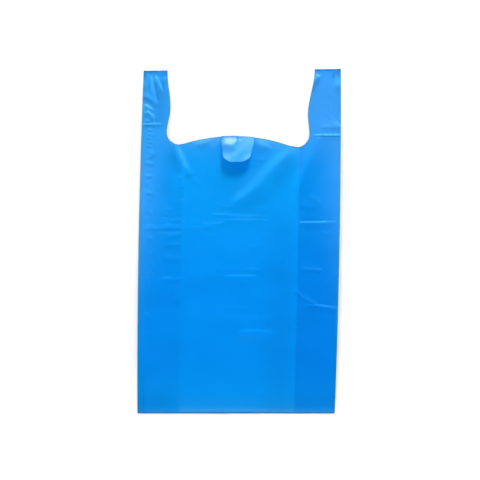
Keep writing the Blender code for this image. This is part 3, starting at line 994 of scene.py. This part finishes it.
def add_front_tab(film, front, height):
    """The front panel's tab, folded over the front of the bag and standing up from it.

    Each of its columns runs along the tab's path, with a bend that is widest at the tab's middle and a turn
    that is largest at its left edge. Its tip's corners are drawn in, and it is a little wider by the fold.
    """
    across, distance = tab_grid()
    start = HANDLE_CELLS + ROOT_CELLS + ARCH_CELLS
    middle = slice(start, start + TAB_CELLS + 1)
    left = eased(0.5 - across / TAB_ROOT_WIDTH)
    bend = TAB_SIDE_BEND + (TAB_BEND - TAB_SIDE_BEND) * np.cos(across * math.pi / TAB_ROOT_WIDTH)
    y, z = tab_path(TAB_REACH * distance, TAB_TURN + TAB_LEFT_TURN * left, bend, TAB_CURL)
    lift, light_and_shade = tab_crumple(across, distance)
    z = height[-1, middle] + z + lift
    corner = eased((np.abs(across) - 0.008) / 0.010) * eased((distance - 0.036) / 0.012)
    y = y + np.where(across < 0, 0.0014, 0.0010) * corner
    wider = 1 + 0.035 * bell((distance - 0.014) / 0.009)
    numbers = add_tab(film, across * wider, y, z, across, distance, FRONT_TAB, light_and_shade)
    film.quads(np.vstack([front[-1:, middle], numbers]))


def add_back_tab(film, back, height):
    """The back panel's tab, tucked flat into the mouth: round half a turn, then straight."""
    across, distance = (grid[FEW, FEW] for grid in tab_grid())
    start = (HANDLE_CELLS + ROOT_CELLS + ARCH_CELLS) // COARSE
    middle = slice(start, start + TAB_CELLS // COARSE + 1)
    no_curl = 1e-6
    y, z = tab_path(distance, math.pi, TUCKED_HEIGHT / 2, no_curl)
    z = height[-1, FEW][middle] + z
    numbers = add_tab(film, across, y, z, across, distance, BACK_TAB)
    film.quads(np.vstack([back[-1:, middle], numbers]), turned=True)


def add_tab(film, x, y, z, across, distance, layer, light_and_shade=0.0):
    """Numbers of a tab's points, without its first row, which is the mouth's edge.

    x and y are its places from the middle of its fold in the punch's frame, and across and distance where
    they are on the unfolded film.
    """
    places = placed(*from_punch(x, y - FOLD_DEPTH))
    flat = from_punch(across, distance - FOLD_DEPTH)
    light_and_shade = np.broadcast_to(light_and_shade, across.shape)
    return film.add_placed(*[grid[1:] for grid in (*places, z, *flat)], layer, light_and_shade[1:])


def edges_of(faces):
    """All directed edges of an array of faces, one row each."""
    return np.stack([faces, np.roll(faces, -1, axis=1)], axis=-1).reshape(-1, 2)


def edge_keys(edges, count):
    """One number for each edge between this many points, whichever way it runs."""
    edges = edges.astype(np.int64)
    return edges.min(axis=1) * count + edges.max(axis=1)


def grid_corners(numbers):
    """The four corners of each cell of a grid of numbers, one row each."""
    corners = numbers[:-1, :-1], numbers[:-1, 1:], numbers[1:, 1:], numbers[1:, :-1]
    return np.stack([corner.ravel() for corner in corners], axis=1)


def make_mesh(name, points, groups):
    """A mesh from points and a list of face arrays, each of one number of corners."""
    mesh = bpy.data.meshes.new(name)
    sizes = np.concatenate([np.full(len(group), group.shape[1]) for group in groups])
    corners = np.concatenate([group.ravel() for group in groups])
    mesh.vertices.add(len(points))
    mesh.vertices.foreach_set("co", points.astype(np.float32).ravel())
    mesh.loops.add(len(corners))
    mesh.loops.foreach_set("vertex_index", corners.astype(np.int32))
    mesh.polygons.add(len(sizes))
    mesh.polygons.foreach_set("loop_start", np.concatenate([[0], np.cumsum(sizes)[:-1]]).astype(np.int32))
    mesh.update(calc_edges=True)
    return mesh


def normals_of(points, groups):
    """The normal of a sheet at each of its points."""
    sheet = make_mesh("sheet", points, groups)
    normals = np.empty(len(points) * 3, np.float32)
    sheet.vertex_normals.foreach_get("vector", normals)
    bpy.data.meshes.remove(sheet)
    return normals.reshape(-1, 3)


def thickened(name, film):
    """The sheet as a closed skin: its points moved out and in along their normals by half the film, with a
    narrow wall round every open edge, and that wall's edges marked sharp."""
    points, flat = np.concatenate(film.points), np.concatenate(film.flat)
    by_corners = {}
    for group in film.faces:
        by_corners.setdefault(group.shape[1], []).append(group)
    groups = [np.concatenate(found) for found in by_corners.values()]
    offset = normals_of(points, groups) * (FILM / 2)

    count = len(points)
    directed = np.concatenate([edges_of(group) for group in groups])
    _, first, uses = np.unique(edge_keys(directed, count), return_index=True, return_counts=True)
    rim = directed[first[uses == 1]]
    wall = np.column_stack([rim[:, ::-1], rim + count])
    inside = [group[:, ::-1] + count for group in groups]
    mesh = make_mesh(name, np.concatenate([points + offset, points - offset]), [*groups, *inside, wall])

    ends = np.empty(len(mesh.edges) * 2, np.int32)
    mesh.edges.foreach_get("vertices", ends)
    rims = np.concatenate([rim, rim + count])
    sharp = np.isin(edge_keys(ends.reshape(-1, 2), 2 * count), edge_keys(rims, 2 * count))
    mesh.attributes.new("sharp_edge", "BOOLEAN", "EDGE").data.foreach_set("value", sharp)
    mesh.polygons.foreach_set("use_smooth", np.ones(len(mesh.polygons), bool))
    at_rim = np.zeros(2 * count)
    at_rim[rims.ravel()] = 1
    store_numbers(mesh, "rim", at_rim)
    store_film(mesh, np.concatenate([flat, flat]))
    return mesh


def store_film(mesh, flat):
    """Keeps what the film's material reads at each point, from its x, y, layer and painted highlights and
    shade on the flat film.

    Its border is 1 on the bag's edges and dies out as an eased step, sooner by the cuts. Only the panels
    and gussets have a border and a painted sheen, and painted bluer light in the front tab's shadow, a
    little below where the back tab is tucked in.
    """
    x, y, layer, light_and_shade = flat.T
    panels = layer <= FRONT
    mouth, handle = distances_to_cuts(x, y)
    border = np.minimum(np.minimum(HALF_WIDTH - np.abs(x), 1.3 * handle), 1.8 * mouth)
    store_vectors(mesh, "flat_place", flat[:, :3])
    store_numbers(mesh, "light_and_shade", light_and_shade)
    store_numbers(mesh, "border", (1 - eased(border / BORDER)) * panels)
    store_numbers(mesh, "painted_sheen", sheen_share(*placed(x, y), mouth) * panels)
    # painted bluer light in the front tab's shadow, for light that passes through the tab
    store_numbers(mesh, "painted_tab_light", under_tab(x, y + TAB_LIGHT_SHIFT, soft=0.016) * panels)


def distances_to_cuts(x, y):
    """How far places in the bag's frame are from the mouth's lower edge, and from a handle's inner edge."""
    samples = 120
    arch = np.linspace(TAB_ROOT_WIDTH / 2, ROOT_CORNER_X, samples)
    arch = np.concatenate([-arch, arch])
    cuts = from_punch(arch, -mouth_depth(arch)), np.concatenate([handle_edge(-1), handle_edge(1)], axis=1)
    distances = []
    for cut in cuts:
        nearest = np.full(x.shape, np.inf)
        for cut_x, cut_y in np.transpose(cut):
            nearest = np.minimum(nearest, np.hypot(x - cut_x, y - cut_y))
        distances.append(nearest)
    return distances


def store_numbers(mesh, name, values):
    """Keeps a number with every point of a mesh, for its material to read."""
    mesh.attributes.new(name, "FLOAT", "POINT").data.foreach_set("value", values.astype(np.float32))


def store_vectors(mesh, name, values):
    """Keeps a vector with every point of a mesh, for its material to read."""
    attribute = mesh.attributes.new(name, "FLOAT_VECTOR", "POINT")
    attribute.data.foreach_set("vector", values.astype(np.float32).ravel())


def add_object(mesh, material):
    """An object of a mesh and its material, at the origin."""
    obj = bpy.data.objects.new(mesh.name, mesh)
    obj.data.materials.append(material)
    bpy.context.scene.collection.objects.link(obj)
    return obj


def squared_off(wave):
    """A wave from -1 to 1 that stays longer near both, which makes a circle into a rounded square: its size
    to the power 0.4, with its own sign."""
    return np.sign(wave) * np.abs(wave) ** 0.4


def weld_strip(name, start, end, y, inward):
    """A welded end: a closed flat bead from start to end across the bag, at y.

    Its section is a flattened ring, carried across the bag. It swells and thins a little along the way, as
    a hot blade leaves it. inward is 1 where the film runs on to larger y.
    """
    cells, around = 120, 12
    x = start + (end - start) * np.linspace(0, 1, cells + 1)
    turn = np.linspace(0, 2 * math.pi, around + 1)[:-1]
    level = np.full_like(x, y)
    half_high = WELD_THICKNESS * BEAD_HEIGHT * (1 + 0.10 * undulation(x, level, 21, 0.006, 0.030))
    half_wide = WELD_WIDTH / 2 * (1 + 0.06 * undulation(x, level, 22, 0.008, 0.040))
    along = y + inward * WELD_WIDTH / 2 + half_wide[:, None] * squared_off(np.cos(turn))
    height = half_high[:, None] * (1 + squared_off(np.sin(turn)))
    x = np.repeat(x[:, None], around, axis=1)
    across, up = placed(x, along)
    points = np.stack([across, up, height + curled(across, up)], axis=-1).reshape(-1, 3)

    numbers = np.arange(x.size).reshape(x.shape)
    sides = grid_corners(np.column_stack([numbers, numbers[:, 0]]))
    caps = np.stack([numbers[0][::-1], numbers[-1]])
    mesh = make_mesh(name, points, [sides, caps])
    store_vectors(mesh, "flat_place", np.stack([x, along, np.full_like(x, WELD)], axis=-1).reshape(-1, 3))
    mesh.polygons.foreach_set("use_smooth", np.arange(len(mesh.polygons)) < len(sides))
    return mesh


# Materials


class Number:
    """A number of a material, which Python's operators work out with Math nodes."""

    def __init__(self, nodes, socket):
        self.nodes, self.socket = nodes, socket

    def math(self, operation, *operands):
        """What one operation of a Math node makes of numbers, constants or both."""
        sockets = dict(enumerate(operands))
        return self.nodes.number("ShaderNodeMath", {"operation": operation}, sockets)

    def __add__(self, other):
        return self.math("ADD", self, other)

    def __sub__(self, other):
        return self.math("SUBTRACT", self, other)

    def __rsub__(self, other):
        return self.math("SUBTRACT", other, self)

    def __mul__(self, other):
        return self.math("MULTIPLY", self, other)

    def __abs__(self):
        return self.math("ABSOLUTE", self)

    __radd__, __rmul__ = __add__, __mul__


class Nodes:
    """The nodes of one material, or of the sky."""

    def __init__(self, tree):
        self.tree = tree

    def put(self, socket, value):
        """Links a value to a socket, or sets it there if it is a constant."""
        if isinstance(value, Number):
            value = value.socket
        if isinstance(value, bpy.types.NodeSocket):
            self.tree.links.new(value, socket)
        else:
            socket.default_value = value

    def add(self, kind, settings=None, sockets=None):
        """A new node of this type, with its settings made first and then its sockets, by name or number."""
        node = self.tree.nodes.new(kind)
        for setting, value in (settings or {}).items():
            setattr(node, setting, value)
        for key, value in (sockets or {}).items():
            self.put(node.inputs[key], value)
        return node

    def number(self, kind, settings=None, sockets=None, output=0):
        """One output of a new node, as a number."""
        return Number(self, self.add(kind, settings, sockets).outputs[output])

    def kept(self, name):
        """A number that the mesh keeps with every point."""
        return self.number("ShaderNodeAttribute", {"attribute_name": name}, output=2)

    def step(self, value, low, high):
        """0 below low, 1 above high and smooth in between."""
        sockets = {"Value": value, "From Min": low, "From Max": high}
        return self.number("ShaderNodeMapRange", {"interpolation_type": "SMOOTHSTEP"}, sockets)

    def noise(self, place, scale, detail=2.0):
        """Noise from 0 to 1, with this many cells a metre."""
        sockets = {"Vector": place, "Scale": scale, "Detail": detail, "Roughness": 0.55}
        return self.number("ShaderNodeTexNoise", {"noise_dimensions": "3D"}, sockets)

    def blend(self, share, first, second, kind="MIX"):
        """A share of the way from one colour to another, or to the two multiplied."""
        settings = {"data_type": "RGBA", "blend_type": kind}
        return self.add("ShaderNodeMix", settings, {0: share, 6: first, 7: second}).outputs[2]

    def stretched(self, place, scale):
        """A place multiplied by a scale for each axis."""
        return self.add("ShaderNodeVectorMath", {"operation": "MULTIPLY"}, {0: place, 1: scale}).outputs[0]


def new_material(name):
    """A new material, its nodes, and the inputs of its shader."""
    material = bpy.data.materials.new(name)
    material.use_nodes = True
    nodes = Nodes(material.node_tree)
    return material, nodes, nodes.tree.nodes["Principled BSDF"].inputs


# the handles' paler, greyer blues are a painted sheen
LEFT_HANDLE_BLUE = (0.024, 0.280, 0.740, 1.0)
RIGHT_HANDLE_BLUE = (0.034, 0.274, 0.735, 1.0)
# lighter than the middle: painted light that falls off from the handles down
UPPER_BLUE = (0.002, 0.300, 0.830, 1.0)
MIDDLE_BLUE = (0.0001, 0.235, 0.768, 1.0)
END_BLUE = (0.001, 0.256, 0.758, 1.0)
BOTTOM_BAND_BLUE = (0.042, 0.310, 0.680, 1.0)
# painted shade along creases and folds
PAINTED_SHADE_BLUE = (0.0005, 0.090, 0.300, 1.0)
WELD_BLUE = (0.0005, 0.150, 0.480, 1.0)
TAB_BLUE = (0.011, 0.195, 0.480, 1.0)
# painted bluer light in the front tab's shadow
PAINTED_TAB_LIGHT_BLUE = (0.0001, 0.300, 0.990, 1.0)
# painted sheen and shade along the side edges of the upper bag
EDGE_SHEEN_BLUE = (0.050, 0.300, 0.780, 1.0)
# painted sheen along the mouth and in a few broad streaks
PAINTED_SHEEN_BLUE = (0.120, 0.450, 0.880, 1.0)
BORDER_BLUE = (0.050, 0.260, 0.440, 1.0)
LOW_BORDER_BLUE = (0.006, 0.200, 0.400, 1.0)
# painted highlights along creases and folds
PAINTED_HIGHLIGHT_BLUE = (0.060, 0.450, 0.980, 1.0)
# the gussets are deeper for their extra layers, and the right one deeper still as painted shade
LEFT_GUSSET_TINT = (0.8, 0.92, 0.95, 1.0)
RIGHT_GUSSET_TINT = (0.6, 0.80, 0.90, 1.0)


def film_material():
    """The film, deeper where more layers lie on each other, with light and shade painted into its colour:
    lighter and with a painted sheen towards the handles, and painted highlights and shade along its
    creases.

    flat_place holds where a point is on the unfolded film: x across, y along, and the number of its layer.
    """
    material, nodes, shader = new_material("blue_film")
    place = nodes.add("ShaderNodeAttribute", {"attribute_name": "flat_place"}).outputs["Vector"]
    cloud = nodes.noise(nodes.stretched(place, (1.0, 1.0, 0.2)), 14.0, 3.0)
    nodes.put(shader["Base Color"], film_colour(nodes, place, cloud))
    nodes.put(shader["Roughness"], 0.20 + cloud * 0.06)
    nodes.put(shader["Normal"], film_bump(nodes, place))
    shader["Metallic"].default_value = 0.0
    shader["IOR"].default_value = 1.53
    shader["Specular IOR Level"].default_value = 0.25
    return material


def film_colour(nodes, place, cloud):
    """The film's blue, as one blend over the other: along the bag, lighter towards the handles as painted
    light and with a paler, greyer band at the bottom end; over the gussets, deeper for their extra layers,
    the right one deeper still as painted shade; a painted sheen and shade at the sides; a painted sheen on
    the handles; then the painted sheen along the mouth, painted bluer light in the front tab's shadow, the
    tabs, the border, painted highlights and shade along the creases, the welds and the cut edges. Last, it
    is multiplied by a faint cloudy grey."""
    parts = nodes.add("ShaderNodeSeparateXYZ", {}, {"Vector": place})
    x, y, layer = (Number(nodes, output) for output in parts.outputs)
    left_gusset = nodes.step(0 - x, GUSSET_FOLD - 0.0030, GUSSET_FOLD + 0.0030)
    right_gusset = nodes.step(x, GUSSET_FOLD - 0.0008, GUSSET_FOLD + 0.0026)
    upper = nodes.step(y, -0.200, 0.120)

    # painted light: lighter towards the handles
    colour = nodes.blend(nodes.step(y, -0.090, 0.130), MIDDLE_BLUE, UPPER_BLUE)
    colour = nodes.blend(nodes.step(0 - y, 0.170, 0.250), colour, END_BLUE)
    # a paler, greyer band along the bottom end, weaker over the gussets
    bottom_band = nodes.step(0 - y, 0.225, 0.250) * 0.10 + nodes.step(0 - y, 0.245, 0.2555) * 0.75
    colour = nodes.blend(bottom_band * (1 - left_gusset * 0.6 - right_gusset * 0.3), colour, BOTTOM_BAND_BLUE)
    # deeper over the gussets for their extra layers; the right one more so as painted shade
    colour = nodes.blend(left_gusset, colour, LEFT_GUSSET_TINT, "MULTIPLY")
    colour = nodes.blend(right_gusset, colour, RIGHT_GUSSET_TINT, "MULTIPLY")
    # painted sheen and shade along the side edges, stronger towards the handles
    at_side = nodes.step(abs(x - 0.004) + upper * 0.030, 0.113, 0.192)
    colour = nodes.blend(at_side * at_side * upper * 0.75, colour, EDGE_SHEEN_BLUE)
    # painted sheen on the handles
    handle = nodes.blend(nodes.step(x, -0.050, 0.050), LEFT_HANDLE_BLUE, RIGHT_HANDLE_BLUE)
    colour = nodes.blend(nodes.step(y, 0.100, 0.190), colour, handle)

    # painted sheen along the mouth and in a few broad streaks
    colour = nodes.blend(nodes.kept("painted_sheen") * 0.5, colour, PAINTED_SHEEN_BLUE)
    # painted bluer light in the front tab's shadow
    colour = nodes.blend(nodes.kept("painted_tab_light") * 0.8, colour, PAINTED_TAB_LIGHT_BLUE)
    colour = nodes.blend(nodes.step(layer, FRONT + 0.2, FRONT + 0.5), colour, TAB_BLUE)
    border = nodes.blend(upper, LOW_BORDER_BLUE, BORDER_BLUE)
    colour = nodes.blend(nodes.kept("border") * 0.7, colour, border)
    # painted highlights and painted shade along the creases and folds
    light_and_shade = nodes.kept("light_and_shade")
    colour = nodes.blend(light_and_shade, colour, PAINTED_HIGHLIGHT_BLUE)
    colour = nodes.blend(0 - light_and_shade, colour, PAINTED_SHADE_BLUE)
    weld = nodes.step(layer, BACK_TAB + 0.2, BACK_TAB + 0.5)
    scorched = nodes.step(nodes.noise(place, 120.0), 0.40, 0.65)
    colour = nodes.blend(weld * (scorched * 0.6 + 0.2), colour, WELD_BLUE)
    colour = nodes.blend(nodes.kept("rim") * 0.25, colour, WELD_BLUE)

    drawn = nodes.noise(nodes.stretched(place, (1.0, 0.02, 0.2)), 260.0, 2.0)
    shade = 0.97 + cloud * 0.04 + drawn * 0.03
    grey = nodes.add("ShaderNodeCombineXYZ", {}, {0: shade, 1: shade, 2: shade}).outputs[0]
    return nodes.blend(1.0, colour, grey, "MULTIPLY")


def film_bump(nodes, place):
    """The normal over the film's finest relief: a net of fold lines, crinkles, and lines along the bag that
    the film was drawn with."""
    net = nodes.number(
        "ShaderNodeTexVoronoi",
        {"feature": "DISTANCE_TO_EDGE"},
        {"Vector": nodes.stretched(place, (1.0, 1.6, 0.3)), "Scale": 70.0, "Randomness": 1.0},
    )
    fold_lines = 1 - nodes.step(net, 0.0, 0.10)
    crinkles = nodes.noise(nodes.stretched(place, (0.6, 1.0, 0.3)), 420.0, 3.0)
    drawn = nodes.noise(nodes.stretched(place, (1.0, 0.03, 0.3)), 900.0, 2.0)
    height = fold_lines * 0.35 + crinkles * 0.5 + drawn * 0.12
    bump = nodes.add("ShaderNodeBump", {}, {"Strength": 0.35, "Distance": 0.0002, "Height": height})
    return bump.outputs["Normal"]


def floor_material():
    """A plain white floor with faint clouds in it."""
    material, nodes, shader = new_material("pale_floor")
    place = nodes.add("ShaderNodeTexCoord").outputs["Object"]
    cloud = nodes.noise(place, 1.5, 2.0)
    colour = nodes.blend(cloud, (0.93, 0.93, 0.93, 1.0), (0.95, 0.95, 0.95, 1.0))
    nodes.put(shader["Base Color"], colour)
    shader["Roughness"].default_value = 0.9
    shader["Specular IOR Level"].default_value = 0.1
    return material


# The pieces


def make_bag():
    """The film and its three welds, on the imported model's one body."""
    material = film_material()
    film = thickened("bag_film", make_film_sheet())
    piece = add_object(film, material)

    bottom = weld_strip("bottom_weld", -HALF_WIDTH, HALF_WIDTH, -HALF_LENGTH, inward=1)
    welds = [add_object(bottom, material)]
    for side, name in ((-1, "left_handle_weld"), (1, "right_handle_weld")):
        x, y = handle_edge(side)
        inner = np.interp(HALF_LENGTH - WELD_WIDTH / 2, y, x)
        ends = sorted([side * HALF_WIDTH, inner])
        welds.append(add_object(weld_strip(name, *ends, HALF_LENGTH, inward=-1), material))
    for obj in [piece, *welds]:
        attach(obj, "root")
    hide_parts("carrier_bag")


def make_stage():
    """A plain pale floor just under the bag."""
    half, z = 6.0, -FLOOR_GAP
    points = np.array([(-half, -half, z), (half, -half, z), (half, half, z), (-half, half, z)])
    floor = add_object(make_mesh("floor", points, [np.array([[0, 1, 2, 3]])]), floor_material())


def make_light():
    """A softbox beyond the handles, a little to the right, and a sky that is bright low down only.

    The sky's strength fades from the horizon upwards, and is higher towards the window: it is its strength
    low down, times the fade, times one plus the slant times how much a direction points at the window.
    """
    distance, elevation, azimuth = 2.0, math.radians(46), math.radians(10)
    lamp = bpy.data.lights.new("softbox", "AREA")
    lamp.shape, lamp.size, lamp.energy = "SQUARE", 0.42, 20.5
    obj = bpy.data.objects.new("softbox", lamp)
    flat = distance * math.cos(elevation)
    obj.location = (flat * math.sin(azimuth), flat * math.cos(azimuth), distance * math.sin(elevation))
    obj.rotation_euler = (elevation - math.pi / 2, 0, -azimuth)
    bpy.context.scene.collection.objects.link(obj)

    world = bpy.data.worlds.new("studio")
    world.use_nodes = True
    sky = Nodes(world.node_tree)
    low, overhead, slant, window = 7.4, 0.02, 0.60, (-0.35, 0.94, 0.0)
    fade_from, fade_to = 0.15, 0.50
    place = sky.add("ShaderNodeTexCoord").outputs["Generated"]
    parts = sky.add("ShaderNodeSeparateXYZ", {}, {0: place})
    side = sky.add("ShaderNodeVectorMath", {"operation": "DOT_PRODUCT"}, {0: place, 1: window})
    fade = 1 - sky.step(Number(sky, parts.outputs["Z"]), fade_from, fade_to)
    strength = fade * (Number(sky, side.outputs["Value"]) * slant + 1) * low
    background = sky.tree.nodes["Background"]
    sky.put(background.inputs["Strength"], strength + overhead)
    background.inputs["Color"].default_value = (1.0, 1.0, 1.0, 1.0)
    bpy.context.scene.world = world


def make_camera():
    """Looks straight down, from where the photograph was taken. seen is the width of floor in its view."""
    camera = bpy.data.cameras.new("camera")
    height, seen = 2.2, 0.7164
    camera.sensor_width = 36.0
    camera.lens = camera.sensor_width * height / seen
    obj = bpy.data.objects.new("camera", camera)
    obj.location = (0.0013, 0.0017, height)
    bpy.context.scene.collection.objects.link(obj)
    bpy.context.scene.camera = obj


make_camera()
make_bag()
make_stage()
make_light()
bpy.context.scene.view_settings.view_transform = "Standard"
